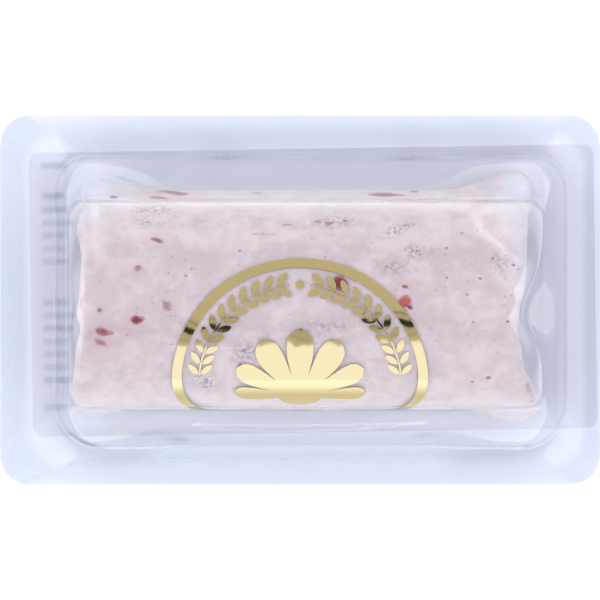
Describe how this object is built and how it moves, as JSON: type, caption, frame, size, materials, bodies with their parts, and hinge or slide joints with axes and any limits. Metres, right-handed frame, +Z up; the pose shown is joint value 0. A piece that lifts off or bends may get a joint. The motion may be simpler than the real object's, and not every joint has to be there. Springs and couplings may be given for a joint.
{
  "type": "packed goat cheese log",
  "caption": "Soft white cheese log with red fruit pieces, sealed in a clear formed pack with a flat flange, a paper back label and a gold foil ornament.",
  "frame": {"origin": "centre of the pack's footprint, on the surface that its back label rests on", "axes": "+X along the log, +Y across the pack away from the side that the ornament wraps over, +Z up out of the dome"},
  "size_m": [0.114, 0.0702, 0.0418],
  "materials": {
    "label_paper": "coated paper label",
    "clear_web": "clear flat film",
    "clear_film": "clear formed film, glossy",
    "goat_cheese": "soft moist fresh cheese, pale pink white",
    "gold_foil": "hot stamped gold foil"
  },
  "bodies": {
    "root": {"back_label": "label_paper", "base_film": "clear_web", "formed_film": "clear_film", "cheese_log": "goat_cheese", "foil_ring": "gold_foil", "foil_fan": "gold_foil"}
  },
  "joints": []
}
